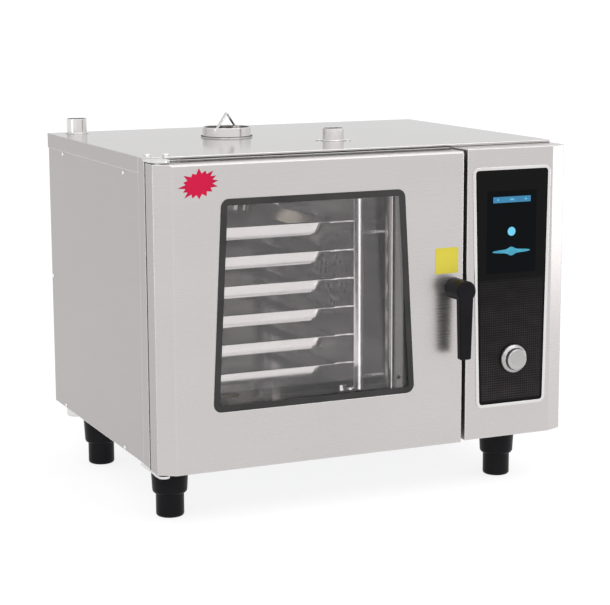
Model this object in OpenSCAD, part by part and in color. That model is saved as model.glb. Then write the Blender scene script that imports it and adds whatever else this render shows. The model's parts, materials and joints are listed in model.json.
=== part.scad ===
// Combi steamer oven, table-top size for six 1/1 gastronorm trays.
// +Z is up, -Y is the front. The origin is on the floor, midway between the sides and
// midway between the handle's front and the water inlets' ends.
// Inside the modules x = 0 is the middle of the cabinet, y = 0 the front face of the
// frame that the door closes on, and z = 0 the underside of the cabinet.

/* [Cabinet] */
// Width of the cabinet
body_w = 990; // [980:2:1010]
// Depth of the cabinet behind the face that the door closes on
body_d = 708; // [700:2:740]
// Height of the cabinet without its feet
body_h = 668; // [664:1:680]
// Thickness of the outer sheet
sheet = 1.5; // [1.2:0.1:1.6]
// Height of the folded skirt of the top cover
skirt_h = 35; // [25:1:45]
// Depth of the front frame's side returns
return_d = 32; // [31:1:60]

/* [Door] */
// Width of the door
door_w = 721; // [719:1:723]
// Thickness of the door
door_t = 64; // [60:1:68]
// Height of the door's top edge over the underside of the cabinet
door_top = 659; // [652:1:660]
// Space that the seal fills between door and frame
seal_gap = 15.5; // [14:0.5:18]
// Distance of the hinge line from the cabinet's left side
hinge_in = 20; // [18:1:22]
// Distance of the hinge line in front of the frame
hinge_out = 36; // [34:1:38]

/* [Window] */
// Height of the window's lower edge
window_z0 = 125; // [115:1:135]
// Height of the window's upper edge
window_z1 = 582; // [570:1:590]
// Width of the dark seal round the glass
window_rim = 14; // [10:1:16]

/* [Control panel] */
// Height of the control panel
panel_h = 662; // [655:1:664]
// Gap between door and control panel
panel_gap = 10; // [6:1:12]
// Width of the touch display
display_w = 127; // [110:1:135]
// Height of the touch display
display_h = 186; // [150:1:200]
// Diameter of the dial
dial_d = 66; // [56:1:70]
// Travel of the dial when it is pushed
dial_travel = 1.5; // [1:0.1:2]

/* [Cooking chamber] */
// Height of the chamber's floor over the underside of the cabinet
chamber_z0 = 62; // [60:1:70]
// Height of the chamber's ceiling
chamber_z1 = 618; // [610:1:620]
// Depth of the chamber
chamber_d = 589; // [580:1:600]
// Diameter of the fan wheel
fan_d = 250; // [200:5:260]

/* [Trays] */
// Number of tray levels is six; this is the height of the lowest tray's rim
tray_z0 = 181; // [170:1:190]
// Distance between two tray levels
tray_pitch = 64.7; // [60:0.1:66]
// Width of a tray
tray_w = 325; // [320:1:325]
// Length of a tray
tray_l = 530; // [500:1:530]
// Depth of a tray
tray_depth = 31; // [20:1:34]

/* [Feet] */
// Height of the feet
leg_h = 120; // [116:1:130]
// Diameter of a foot's lower part
foot_d = 62; // [55:1:64]
// Diameter of a foot's sleeve at its top
sleeve_d = 84; // [76:1:90]

/* [Vents and pipes] */
// Outer diameter of the vent pipes
pipe_d = 49; // [45:1:52]
// Outer diameter of the exhaust collar
collar_d = 115; // [105:1:120]
// How far the water inlets stand out of the back
inlet_out = 22; // [16:1:30]

/* [Hidden] */
$fn = 64;

// Reach of the handle in front of the door, and of the whole object from the frame's face
handle_out = 58.5;
front_reach = seal_gap + door_t + handle_out;
y_shift = (front_reach - body_d - inlet_out) / 2;

// Small distance between pieces that lie on each other, and a running fit's radial clearance
slack = 0.2;
running = 0.05;

left = -body_w / 2;
right = body_w / 2;
door_back = -seal_gap;
door_front = -seal_gap - door_t;
door_z0 = -3;
door_chamfer_x = 36;
door_chamfer_y = 21.5;
pivot = [left + hinge_in, -hinge_out];
hinge_pin_r = 6;
hinge_plate_t = 5;

// Window outlines in the X-Z plane, wider at the bottom, anticlockwise from the lower left
window_outline = [
    [left + 121, window_z0], [left + 601, window_z0],
    [left + 575, window_z1], [left + 144, window_z1]
];
glass_r = 18;

// Black control glass, narrower at the bottom
control_outline = [
    [left + 767, 78], [left + 931.5, 78],
    [left + 938, 613], [left + 751, 613]
];
bezel_w = 7;
panel_x0 = left + door_w + panel_gap;
panel_chamfer_x = 39;
panel_chamfer_y = 17.5;
display_x = left + 845;
display_z = 472;
dial_x = left + 852;
dial_z = 181;
dial_shaft_r = 7;

// Handle
handle_x = left + 700;
handle_z = 354;
hub_r = 23.5;
lever_t = 19;
spindle_r = 8;

// Cooking chamber
chamber_x0 = left + 62;
chamber_x1 = left + 652;
liner_t = 1.2;
chamber_r = 20;
baffle_x = left + 580;
fan_y = 300;
fan_z = 340;
fan_shaft_r = 8;
motor_x = left + 692;

// Trays and their racks
tray_x0 = left + 140;
tray_y0 = 33;
rim_w = 12.5;
rail_r = 3;
levels = [0 : 5];

// Pipes on top, at the back and below
rear_pipe = [left + 63, 669];
middle_pipe = [left + 534, 204];
collar = [left + 353, 413];
drain = [left + 36, 640];
inlets_x = [left + 800, left + 860];
inlet_z = 90;
inlet_r = 13.2;
gland_x = left + 925;

// Feet: distance of each foot's axis from the left side and behind the frame's face
feet_x = [left + 58, left + 877];
feet_y = [30, 519];
sleeve_h = 68;

// Outline helpers -------------------------------------------------------------------

function unit(v) = v / norm(v);

// Points of a round corner of radius r at p, between its neighbours a and b
function corner_arc(a, p, b, r, n) =
    let (
        u = unit(a - p),
        w = unit(b - p),
        half = acos(u * w) / 2,
        c = p + unit(u + w) * r / sin(half),
        s = p + u * r / tan(half) - c,
        e = p + w * r / tan(half) - c,
        from = atan2(s[1], s[0]),
        turn = atan2(e[1], e[0]) - from,
        sweep = turn > 180 ? turn - 360 : turn < -180 ? turn + 360 : turn
    )
    [for (i = [0 : n]) c + r * [cos(from + sweep * i / n), sin(from + sweep * i / n)]];

// A convex outline with all its corners rounded
function rounded(p, r, n = 6) =
    [for (i = [0 : len(p) - 1])
        each corner_arc(p[(i + len(p) - 1) % len(p)], p[i], p[(i + 1) % len(p)], r, n)];

function rect(x0, x1, z0, z1) = [[x0, z0], [x1, z0], [x1, z1], [x0, z1]];

// A four-cornered outline, anticlockwise from the lower left, grown by d on all sides
function grow(q, d) = [q[0] + [-d, -d], q[1] + [d, -d], q[2] + [d, d], q[3] + [-d, d]];

// Solid helpers ---------------------------------------------------------------------

// From the cabinet's own frame to the object's frame
module place() {
    translate([0, y_shift, leg_h])
        children();
}

module block(lo, hi) {
    translate(lo)
        cube(hi - lo);
}

// An outline in the X-Z plane, thickened from y to y + t
module front_plate(outline, y, t) {
    translate([0, y + t, 0])
        rotate([90, 0, 0])
            linear_extrude(t)
                polygon(outline);
}

// An outline in the Y-Z plane, thickened from x to x + t
module side_plate(outline, x, t) {
    translate([x, 0, 0])
        rotate([90, 0, 90])
            linear_extrude(t)
                polygon(outline);
}

// An outline in the X-Y plane, thickened from z to z + t
module flat_plate(outline, z, t) {
    translate([0, 0, z])
        linear_extrude(t)
            polygon(outline);
}

// Round bars along one axis, from a point and over a length
module bar_x(p, r, length) {
    translate(p)
        rotate([0, 90, 0])
            cylinder(r = r, h = length);
}

module bar_y(p, r, length) {
    translate(p)
        rotate([-90, 0, 0])
            cylinder(r = r, h = length);
}

module bar_z(p, r, length) {
    translate(p)
        cylinder(r = r, h = length);
}

// A flat ring between two outlines, in the X-Z plane
module front_ring(outer, inner, y, t) {
    difference() {
        front_plate(outer, y, t);
        front_plate(inner, y - 1, t + 2);
    }
}

// Cabinet ---------------------------------------------------------------------------

base_x0 = left + 3.4;
base_x1 = right - 3.4;
base_y0 = 2;
base_y1 = body_d - 3.7;
base_flange = 28;

module base_pan() {
    color("silver")
        place()
            difference() {
                block([base_x0, base_y0, 0], [base_x1, base_y1, base_flange]);
                block(
                    [base_x0 + sheet, base_y0 + sheet, sheet],
                    [base_x1 - sheet, base_y1 - sheet, base_flange + 1]
                );
                bar_z([drain[0], drain[1], -1], 26, sheet + 2);
                for (i = [0 : 7])
                    block([left + 760, 240 + i * 24, -1], [left + 900, 248 + i * 24, sheet + 1]);
            }
}

module top_cover() {
    z1 = body_h - sheet;
    color("gainsboro")
        place()
            difference() {
                union() {
                    block([left, 0, z1], [right, body_d, body_h]);
                    block([left, return_d + slack, body_h - skirt_h], [left + sheet, body_d, body_h]);
                    block([right - sheet, return_d + slack, body_h - skirt_h], [right, body_d, body_h]);
                    block([left, body_d - sheet, body_h - skirt_h], [right, body_d, body_h]);
                    block([left + 47, -sheet, body_h - 5.4], [right, 0, body_h]);
                }
                bar_z([rear_pipe[0], rear_pipe[1], z1 - 1], pipe_d / 2 + 0.5, sheet + 2);
                bar_z([middle_pipe[0], middle_pipe[1], z1 - 1], pipe_d / 2 + 0.5, sheet + 2);
                bar_z([collar[0], collar[1], z1 - 1], collar_d / 2 - 7, sheet + 2);
                hinge_bolt_axes(4.3, z1 - 1, sheet + 2);
            }
}

panel_z1 = body_h - 18;
side_t = 1.2;

// Side screws: distance behind the frame's face and height. Rear screws: x and height
screw_r = 2;
side_screws = [[134, 625], [586, 627], [695, 318], [614, 7], [163, 7]];
rear_screws = [for (x = [left + 40, 0, right - 40], z = [14, panel_z1 - 30]) [x, z]];

module left_side_panel() {
    color("silver")
        place()
            difference() {
                block(
                    [left + sheet + slack, return_d + slack, 0.5],
                    [left + sheet + slack + side_t, body_d - 1.7, panel_z1]
                );
                for (p = side_screws)
                    bar_x([left, p[0], p[1]], screw_r + running, 4);
            }
}

module right_side_panel() {
    color("silver")
        place()
            difference() {
                block(
                    [right - sheet - slack - side_t, return_d + slack, 0.5],
                    [right - sheet - slack, body_d - 1.7, panel_z1]
                );
                for (p = side_screws)
                    bar_x([right - 4, p[0], p[1]], screw_r + running, 5);
                for (row = [0 : 9], column = [0 : 1])
                    translate([right, 420 + column * 110, 110 + row * 18])
                        side_plate(rounded(rect(0, 80, 0, 7), 3), -6, 12);
            }
}

rear_y = body_d - 3.2;

module rear_panel() {
    color("silver")
        place()
            difference() {
                block([left + 3.2, rear_y, 0.5], [right - 3.2, rear_y + side_t, panel_z1]);
                for (p = rear_screws)
                    bar_y([p[0], rear_y - 1, p[1]], screw_r + running, 4);
                for (x = inlets_x)
                    bar_y([x, rear_y - 1, inlet_z], inlet_r + 0.6, 4);
                bar_y([gland_x, rear_y - 1, inlet_z], 12.6, 4);
                for (row = [0 : 9], column = [0 : 1])
                    front_plate(
                        rounded(rect(
                            left + 770 + column * 100, left + 850 + column * 100,
                            380 + row * 18, 387 + row * 18
                        ), 3),
                        rear_y - 1, 4
                    );
            }
}

mouth_outline = rounded(rect(chamber_x0, chamber_x1, chamber_z0, chamber_z1), chamber_r);
frame_h = body_h - sheet - hinge_plate_t - 0.5;
frame_lip = 7.5;

module front_frame() {
    color("gainsboro")
        place()
            difference() {
                union() {
                    block([left, 0, 0], [right, sheet, frame_h]);
                    block([left, -frame_lip, 0], [left + sheet, return_d, frame_h]);
                    block([left, 0, 0], [left + sheet, return_d, body_h - sheet - slack]);
                    block([right - sheet, 0, 0], [right, return_d, body_h - sheet - slack]);
                    block([left, 0, frame_h - sheet], [right, 30, frame_h]);
                }
                front_plate(mouth_outline, -1, sheet + 2);
                front_plate(rounded(rect(left + 745, left + 970, 60, 630), 10), -1, sheet + 2);
            }
}

// Cooking chamber -------------------------------------------------------------------

function liner_outline(d) = rounded(
    rect(chamber_x0 - d, chamber_x1 + d, chamber_z0 - d, chamber_z1 + d), chamber_r + d
);

lamp = [left + 300, chamber_z1 - 70];
element_leads = [fan_y - 40, fan_y + 40];
element_z = fan_z + 150;
injector_z = fan_z - 185;
chamber_drain = [left + 320, 320];

// Everything that passes through the chamber's walls, at a radial clearance d
module chamber_passages(d) {
    bar_x([chamber_x1 - 5, fan_y, fan_z], 14 + d, 60);
    bar_x([chamber_x1 - 5, fan_y, injector_z], 6 + d, 60);
    for (y = element_leads)
        bar_x([chamber_x1 - 5, y, element_z], 5 + d, 60);
    bar_y([lamp[0], chamber_d - 5, lamp[1]], 29 + d, 80);
    bar_z([collar[0], collar[1], chamber_z1 - 5], collar_d / 2 - 8 + d, 60);
    bar_z([middle_pipe[0], middle_pipe[1], chamber_z1 - 5], pipe_d / 2 + d, 60);
    bar_z([chamber_drain[0], chamber_drain[1], chamber_z0 - 50], 20 + d, 60);
}

module cavity_liner() {
    color("dimgray")
        place()
            difference() {
                union() {
                    front_ring(
                        liner_outline(liner_t), liner_outline(0), sheet + slack, chamber_d - sheet
                    );
                    front_plate(liner_outline(liner_t), chamber_d, liner_t);
                }
                chamber_passages(0.4);
            }
}

module cavity_insulation() {
    color("khaki")
        place()
            difference() {
                block([left + 14, 4, 30], [left + 684, chamber_d + 46, chamber_z1 + 30]);
                block(
                    [chamber_x0 - 2, 3, chamber_z0 - 2],
                    [chamber_x1 + 2, chamber_d + 2, chamber_z1 + 2]
                );
                chamber_passages(2);
            }
}

module cavity_gasket() {
    color("black")
        place()
            union() {
                front_ring(liner_outline(16), liner_outline(1), -5, 5);
                front_ring(liner_outline(12), liner_outline(4), door_back + 0.3, seal_gap - 0.3);
            }
}

baffle_t = 1.5;
baffle_r = 14;
baffle_y0 = 16;
latch_z = 140;

// The baffle's section: a long wall, a round front edge and a flange to the chamber's side
function baffle_edge(r) = [
    for (i = [0 : 6])
        [baffle_x + baffle_r, baffle_y0 + baffle_r] - r * [cos(i * 15), sin(i * 15)]
];

module baffle_holes() {
    bar_x([baffle_x - 5, fan_y, fan_z], 9, 12);
    for (ring = [1 : 4])
        for (i = [0 : 8 * ring - 1])
            translate([0, fan_y, fan_z])
                rotate([i * 45 / ring, 0, 0])
                    bar_x([baffle_x - 5, 0, ring * 24], 7, 12);
}

module air_baffle() {
    color("silver")
        place()
            difference() {
                union() {
                    flat_plate(
                        concat(
                            baffle_edge(baffle_r),
                            [[chamber_x1 - 2, baffle_y0], [chamber_x1 - 2, baffle_y0 + baffle_t]],
                            [for (i = [6 : -1 : 0]) baffle_edge(baffle_r - baffle_t)[i]],
                            [[baffle_x + baffle_t, chamber_d - 2], [baffle_x, chamber_d - 2]]
                        ),
                        chamber_z0 + 18, chamber_z1 - chamber_z0 - 36
                    );
                    front_plate(
                        [
                            [baffle_x + 18, latch_z - 20], [baffle_x + 40, latch_z - 20],
                            [baffle_x + 36, latch_z + 22], [baffle_x + 22, latch_z + 22]
                        ],
                        baffle_y0 - 3, 3
                    );
                }
                bar_y([baffle_x + 29, baffle_y0 - 4, latch_z], 5, 8);
                baffle_holes();
            }
}

// One rack: two uprights, a foot bar and a bent rail for each level.
// x0 and x1 are the upright's sides, reach the x of the rails' long runs.
rail_y0 = 55;
rail_y1 = 537;
rack_z0 = 112;

module rail(x_from, x_to, z) {
    low = min(x_from, x_to);
    span = abs(x_to - x_from);
    for (y = [rail_y0, rail_y1])
        bar_x([low, y, z], rail_r, span);
    bar_y([x_to, rail_y0, z], rail_r, rail_y1 - rail_y0);
    for (y = [rail_y0, rail_y1])
        translate([x_to, y, z])
            sphere(r = rail_r, $fn = 32);
}

module rack(x0, x1, inner, reach, wall) {
    for (y = [rail_y0, rail_y1]) {
        difference() {
            block([x0, y - 8, rack_z0], [x1, y + 8, tray_z0 + 5 * tray_pitch + 46]);
            block([x0 + 4, y - 5, rack_z0 + 8], [x1 - 4, y + 9, tray_z0 + 5 * tray_pitch + 60]);
        }
        for (z = [rack_z0 + 30, tray_z0 + 4.5 * tray_pitch])
            bar_x([min(wall, x1), y, z], 5, max(wall, x0) - min(wall, x1));
        block(
            [min(inner, x1), y - 4, rack_z0],
            [max(inner, x0), y + 4, rack_z0 + 6]
        );
        block([inner - 8, y - 8, rack_z0], [inner + 8, y + 8, rack_z0 + 15]);
    }
    for (i = levels)
        rail(x0 < reach ? x1 : x0, reach, tray_z0 + i * tray_pitch - 1.1 - rail_r);
}

module rack_left() {
    color("silver")
        place()
            rack(left + 66, left + 84, left + 100, tray_x0 + 6, chamber_x0);
}

module rack_right() {
    color("silver")
        place()
            rack(left + 512, left + 536, left + 485, tray_x0 + tray_w - 7, baffle_x);
}

module tray_at(level) {
    z = tray_z0 + level * tray_pitch;
    x1 = tray_x0 + tray_w;
    y1 = tray_y0 + tray_l;
    color("gainsboro")
        place()
            difference() {
                union() {
                    flat_plate(rounded(rect(tray_x0, x1, tray_y0, y1), 18), z - 1, 1);
                    tray_bowl(z, 0, 0);
                }
                tray_bowl(z, 1, 1);
            }
}

// A tray's bowl, narrower at the bottom: the outer form, or the hollow at a wall thickness
module tray_bowl(z, wall, lift) {
    slope = 12;
    x0 = tray_x0 + rim_w + wall;
    x1 = tray_x0 + tray_w - rim_w - wall;
    y0 = tray_y0 + rim_w + wall;
    y1 = tray_y0 + tray_l - rim_w - wall;
    hull() {
        flat_plate(rounded(rect(x0, x1, y0, y1), 36 - wall), z - 1, 1 + lift);
        flat_plate(
            rounded(rect(x0 + slope, x1 - slope, y0 + slope, y1 - slope), 30 - wall),
            z - tray_depth + wall, 0.5
        );
    }
}

module tray_1() { tray_at(0); }
module tray_2() { tray_at(1); }
module tray_3() { tray_at(2); }
module tray_4() { tray_at(3); }
module tray_5() { tray_at(4); }
module tray_6() { tray_at(5); }

module cavity_lamp() {
    color("white")
        place()
            union() {
                bar_y([lamp[0], chamber_d - 12, lamp[1]], 29, 70);
                bar_y([lamp[0], chamber_d - 3, lamp[1]], 35, 2.8);
                bar_y([lamp[0], chamber_d - 18, lamp[1]], 22, 8);
            }
}

module steam_injector() {
    nozzle_x = baffle_x + 14;
    color("silver")
        place()
            union() {
                bar_x([nozzle_x, fan_y, injector_z], 6, motor_x + 40 - nozzle_x);
                bar_x([nozzle_x - 6, fan_y, injector_z], 4, 10);
                bar_x([motor_x + 20, fan_y, injector_z], 11, 26);
            }
}

module heating_element() {
    ring_r = fan_d / 2 + 25;
    color("dimgray")
        place() {
            for (x = [chamber_x1 - 44, chamber_x1 - 22])
                translate([x, fan_y, fan_z])
                    rotate([0, 90, 0])
                        rotate_extrude()
                            translate([ring_r, 0])
                                circle(r = 5, $fn = 32);
            for (i = [0, 1])
                block(
                    [chamber_x1 - 46, element_leads[i] - 5, element_z - 16],
                    [chamber_x1 - 20, element_leads[i] + 5, element_z + 5]
                );
            for (y = element_leads)
                bar_x([chamber_x1 - 30, y, element_z], 5, 90);
        }
}

module fan_motor() {
    color("slategray")
        place()
            difference() {
                union() {
                    block([motor_x - 6, fan_y - 75, fan_z - 45], [motor_x, fan_y + 75, fan_z + 90]);
                    bar_x([motor_x - 1, fan_y, fan_z], 45, 130);
                    for (i = [0 : 6])
                        bar_x([motor_x + 12 + i * 15, fan_y, fan_z], 52, 6);
                    block([motor_x + 30, fan_y - 22, fan_z + 40], [motor_x + 90, fan_y + 22, fan_z + 74]);
                }
                bar_x([motor_x - 10, fan_y, fan_z], fan_shaft_r + running, 80);
            }
}

wheel_x0 = baffle_x + 12;
wheel_w = 48;
blades = 18;

module fan_wheel() {
    color("gray")
        place()
            difference() {
                translate([wheel_x0, fan_y, fan_z])
                    union() {
                        bar_x([wheel_w - 2, 0, 0], fan_d / 2, 2);
                        bar_x([6, 0, 0], 18, wheel_w - 6);
                        difference() {
                            bar_x([0, 0, 0], fan_d / 2, 2);
                            bar_x([-1, 0, 0], fan_d / 2 - 32, 4);
                        }
                        for (i = [0 : blades - 1])
                            rotate([i * 360 / blades, 0, 0])
                                translate([1, 0, fan_d / 2 - 30])
                                    rotate([20, 0, 0])
                                        cube([wheel_w - 2, 2, 29]);
                    }
                bar_x([wheel_x0 - 1, fan_y, fan_z], fan_shaft_r + 0.02, wheel_w + 2);
            }
}

module fan_shaft() {
    color("silver")
        place()
            union() {
                bar_x([wheel_x0 + 2, fan_y, fan_z], fan_shaft_r, motor_x + 60 - wheel_x0);
                bar_x([wheel_x0 - 1, fan_y, fan_z], 12, 6.8);
            }
}

// Control panel ---------------------------------------------------------------------

// The panel's section seen from above, set in by d from its outer skin
function panel_section(d) = [
    [panel_x0 + d, d ? 1 : -0.3], [panel_x0 + d, door_front + d],
    [right - panel_chamfer_x - d * 0.4, door_front + d],
    [right - d, door_front + panel_chamfer_y + d * 0.9], [right - d, d ? 1 : -0.3]
];

module control_panel() {
    color("gainsboro")
        place()
            difference() {
                flat_plate(panel_section(0), 0, panel_h);
                flat_plate(panel_section(sheet), sheet, panel_h - 2 * sheet);
                front_plate(rounded(grow(control_outline, 1), 9), door_front - 1, sheet + 2);
            }
}

bezel_out = 1.6;

module panel_bezel() {
    color("whitesmoke")
        place()
            union() {
                front_ring(
                    rounded(grow(control_outline, bezel_w), 15), rounded(grow(control_outline, 0.3), 8),
                    door_front - bezel_out, bezel_out - 0.1
                );
                front_ring(
                    rounded(grow(control_outline, 0.9), 8.9), rounded(grow(control_outline, 0.3), 8),
                    door_front - bezel_out, bezel_out + 6
                );
            }
}

glass_y = door_front - 0.8;
display_outline = rect(
    display_x - display_w / 2, display_x + display_w / 2,
    display_z - display_h / 2, display_z + display_h / 2
);

module control_glass() {
    color("black")
        place()
            difference() {
                front_plate(rounded(control_outline, 8), glass_y, 4);
                front_plate(grow(display_outline, 0.2), glass_y - 1, 6);
                bar_y([dial_x, glass_y - 1, dial_z], dial_shaft_r + 3, 6);
            }
}

module touch_display() {
    color("midnightblue")
        place()
            union() {
                front_plate(display_outline, glass_y, 5);
                front_plate(grow(display_outline, 6), glass_y + 5, 9);
            }
}

board_y = glass_y + 22;

// Circuit board with its larger parts and the dial's rotary switch, which guides the plunger
module control_board() {
    color("darkgreen")
        place()
            difference() {
                union() {
                    front_plate(rect(left + 775, left + 925, 110, 590), board_y, 2);
                    block([left + 790, board_y + 2, 250], [left + 850, board_y + 22, 300]);
                    block([left + 865, board_y + 2, 240], [left + 910, board_y + 30, 320]);
                    for (x = [left + 790 : 26 : left + 900])
                        block([x, board_y + 2, 120], [x + 16, board_y + 12, 134]);
                    bar_y([dial_x, board_y - 14, dial_z], 13, 14.5);
                    block([dial_x - 16, board_y - 8, dial_z - 16], [dial_x + 16, board_y + 1, dial_z + 16]);
                    for (z = [120, 580], x = [left + 785, left + 915])
                        bar_y([x, glass_y + 4.2, z], 4, board_y - glass_y - 4);
                }
                bar_y([dial_x, board_y - 15, dial_z], dial_shaft_r + running, 30);
            }
}

knob_back = glass_y - 2.2 - dial_travel;
knob_h = 21;

// The shaft of the rotary switch, which slides when the dial is pushed
module dial_plunger() {
    color("silver")
        place()
            union() {
                bar_y([dial_x, knob_back - 6, dial_z], dial_shaft_r, board_y - knob_back + 4);
                bar_y([dial_x, knob_back - 14, dial_z], 4, 12);
            }
}

// Round dial with a stepped side and a dished face
module dial_knob() {
    r = dial_d / 2;
    dish = [for (i = [0 : 6]) [(r - 12) * (6 - i) / 6, knob_h - 3 + 2.4 * pow((6 - i) / 6, 2)]];
    color("silver")
        place()
            translate([dial_x, knob_back, dial_z])
                rotate([90, 0, 0])
                    difference() {
                        rotate_extrude()
                            polygon(concat(
                                [[0, 0], [r - 1, 0], [r, 1], [r, 4], [r - 1.4, 6.6], [r - 4.6, 8.8]],
                                [[r - 7, 10], [r - 8.6, knob_h - 2.4]],
                                [[r - 9.8, knob_h - 0.8], [r - 11, knob_h - 0.4]],
                                dish
                            ));
                        translate([0, 0, -1])
                            cylinder(r = dial_shaft_r + running, h = 7.2);
                        cylinder(r = 4 + running, h = 14.2);
                    }
}

// Services --------------------------------------------------------------------------

module cable_gland() {
    color("dimgray")
        place()
            difference() {
                union() {
                    bar_y([gland_x, rear_y - 14, inlet_z], 12, 30);
                    bar_y([gland_x, rear_y + 1.4, inlet_z], 17, 5);
                    translate([gland_x, rear_y + 6, inlet_z])
                        rotate([-90, 0, 0])
                            cylinder(r = 15, h = 10, $fn = 6);
                    bar_y([gland_x, rear_y - 6, inlet_z], 17, 5.8);
                }
                bar_y([gland_x, rear_y - 20, inlet_z], 7, 50);
            }
}

// Twin inlet valve: two threaded inlets, one body and two coils
module water_valve() {
    color("white")
        place()
            union() {
                for (x = inlets_x) {
                    difference() {
                        bar_y([x, rear_y - 40, inlet_z], inlet_r, body_d + inlet_out - rear_y + 40);
                        bar_y([x, rear_y - 10, inlet_z], 9, 60);
                    }
                    bar_y([x, rear_y - 8, inlet_z], 18, 7.8);
                    translate([x, rear_y + side_t + 0.15, inlet_z])
                        rotate([-90, 0, 0])
                            difference() {
                                cylinder(r = 18, h = 4, $fn = 6);
                                translate([0, 0, -1])
                                    cylinder(r = inlet_r - 1, h = 6);
                            }
                    block([x - 16, rear_y - 62, inlet_z + 10], [x + 16, rear_y - 30, inlet_z + 52]);
                }
                block(
                    [inlets_x[0] - 18, rear_y - 66, inlet_z - 16],
                    [inlets_x[1] + 18, rear_y - 34, inlet_z + 16]
                );
            }
}

// Drain trap with its outlet under the base
module drain_pipe() {
    color("silver")
        place()
            difference() {
                union() {
                    translate([drain[0], drain[1], -27])
                        rotate_extrude()
                            polygon([[0, 0], [20, 0], [23.4, 1.2], [25, 4.5], [25, 34], [0, 34]]);
                    bar_z([drain[0], drain[1], sheet + slack], 30, 4);
                }
                bar_z([drain[0], drain[1], -30], 21, 35);
            }
}

module vent_pipe(p, z0, z1) {
    difference() {
        bar_z([p[0], p[1], z0], pipe_d / 2, z1 - z0);
        bar_z([p[0], p[1], z0 - 1], pipe_d / 2 - 2, z1 - z0 + 2);
    }
}

module vent_pipe_rear() {
    color("silver")
        place()
            union() {
                vent_pipe(rear_pipe, body_h - 30, body_h + 36);
                difference() {
                    union() {
                        bar_z([rear_pipe[0], rear_pipe[1], body_h - 5], pipe_d / 2 + 6, 3.2);
                        bar_z([rear_pipe[0], rear_pipe[1], body_h + 0.1], pipe_d / 2 + 3, 2);
                    }
                    bar_z([rear_pipe[0], rear_pipe[1], body_h - 6], pipe_d / 2 - 1, 12);
                }
            }
}

module vent_pipe_middle() {
    ear = pipe_d / 2 + 8;
    color("silver")
        place()
            difference() {
                union() {
                    vent_pipe(middle_pipe, chamber_z1 + 1.4, body_h + 29);
                    bar_z([middle_pipe[0], middle_pipe[1], body_h + 0.1], pipe_d / 2 + 3, 2);
                    for (turn = [-30, 150])
                        translate([middle_pipe[0], middle_pipe[1], body_h + 0.1])
                            rotate([0, 0, turn])
                                bar_z([ear, 0, 0], 8, 2);
                }
                bar_z([middle_pipe[0], middle_pipe[1], body_h - 20], pipe_d / 2 - 1, 40);
            }
}

collar_h = 24;

module exhaust_collar() {
    color("silver")
        place()
            translate([collar[0], collar[1], 0])
                rotate_extrude()
                    polygon([
                        [collar_d / 2 - 10, chamber_z1 + 1.4], [collar_d / 2 - 8, chamber_z1 + 1.4],
                        [collar_d / 2 - 8, body_h + 0.1], [collar_d / 2 + 4, body_h + 0.1],
                        [collar_d / 2 + 4, body_h + 1.6], [collar_d / 2, body_h + 1.6],
                        [collar_d / 2, body_h + collar_h - 1], [collar_d / 2 - 1, body_h + collar_h],
                        [collar_d / 2 - 2.5, body_h + collar_h], [collar_d / 2 - 3.5, body_h + collar_h - 1],
                        [collar_d / 2 - 3.5, body_h + 2.6], [collar_d / 2 - 10, body_h + 2.6]
                    ]);
}

// A bar across the collar that carries a bent strip, which keeps pans off the outlet
module collar_bracket() {
    z0 = body_h + 4;
    z1 = body_h + collar_h + 33;
    half = 34;
    color("silver")
        place()
            union() {
                block(
                    [collar[0] - collar_d / 2 + 5, collar[1] - 7, z0 - 1.2],
                    [collar[0] + collar_d / 2 - 5, collar[1] + 7, z0 + 0.3]
                );
                translate([collar[0], 0, 0])
                    front_plate(
                        [
                            [-half - 2, z0], [-half, z0], [0, z1 - 2.5], [half, z0],
                            [half + 2, z0], [0.7, z1], [-0.7, z1]
                        ],
                        collar[1] - 7, 14
                    );
            }
}

// Hinges ----------------------------------------------------------------------------

module hinge_bolt_axes(r, z, length) {
    for (p = [[left + 27, 49], [left + 66, 42]])
        bar_z([p[0], p[1], z], r, length);
}

// The upper plate's outline seen from above: a bulged nose over the door's corner, and a
// wider tongue under the top cover
upper_hinge_outline = concat(
    [[left + 3, 64], [left + 3, -1], [left - 0.4, -5], [left - 0.4, -44]],
    [for (i = [0 : 8]) [left + 4 + i * 4.4, -58 - 8 * sin(i * 22.5)]],
    [[left + 43, -50], [left + 43, 2], [left + 84, 2], [left + 84, 64]]
);

// The lower plate's outline: a round nose and a short tongue
lower_hinge_outline = concat(
    [[left + 3, -16], [left + 1, -44]],
    [for (i = [0 : 8]) [left + 14.5 - 12.5 * cos(i * 22.5), -57 - 12.5 * sin(i * 22.5)]],
    [[left + 31, -46], [left + 31, -16]]
);

upper_plate_z = body_h - sheet - slack - hinge_plate_t;

module upper_hinge_plate() {
    color("silver")
        place()
            difference() {
                flat_plate(upper_hinge_outline, upper_plate_z, hinge_plate_t);
                hinge_bolt_axes(4.3, upper_plate_z - 1, hinge_plate_t + 2);
                bar_z([pivot[0], pivot[1], upper_plate_z - 1], hinge_pin_r + 0.02, 8);
            }
}

lower_plate_z = door_z0 - 1.6 - hinge_plate_t;

module lower_hinge_plate() {
    color("silver")
        place()
            difference() {
                union() {
                    flat_plate(lower_hinge_outline, lower_plate_z, hinge_plate_t);
                    block([left + 3, -20, lower_plate_z], [left + 15, -0.3, lower_plate_z + hinge_plate_t]);
                    block([left + 3, -0.3, lower_plate_z], [left + 15, 60, -0.1]);
                }
                bar_z([pivot[0], pivot[1], lower_plate_z - 1], hinge_pin_r + 0.02, 8);
            }
}

module hinge_bolts() {
    color("white")
        place() {
            hinge_bolt_axes(4, upper_plate_z + 0.2, body_h - upper_plate_z);
            for (p = [[left + 27, 49], [left + 66, 42]])
                translate([p[0], p[1], body_h + 0.1])
                    rotate_extrude()
                        polygon(concat(
                            [[0, 0], [8, 0]],
                            [for (i = [0 : 5]) [8 * cos(i * 18), 0.6 + 4 * sin(i * 18)]]
                        ));
        }
}

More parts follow.
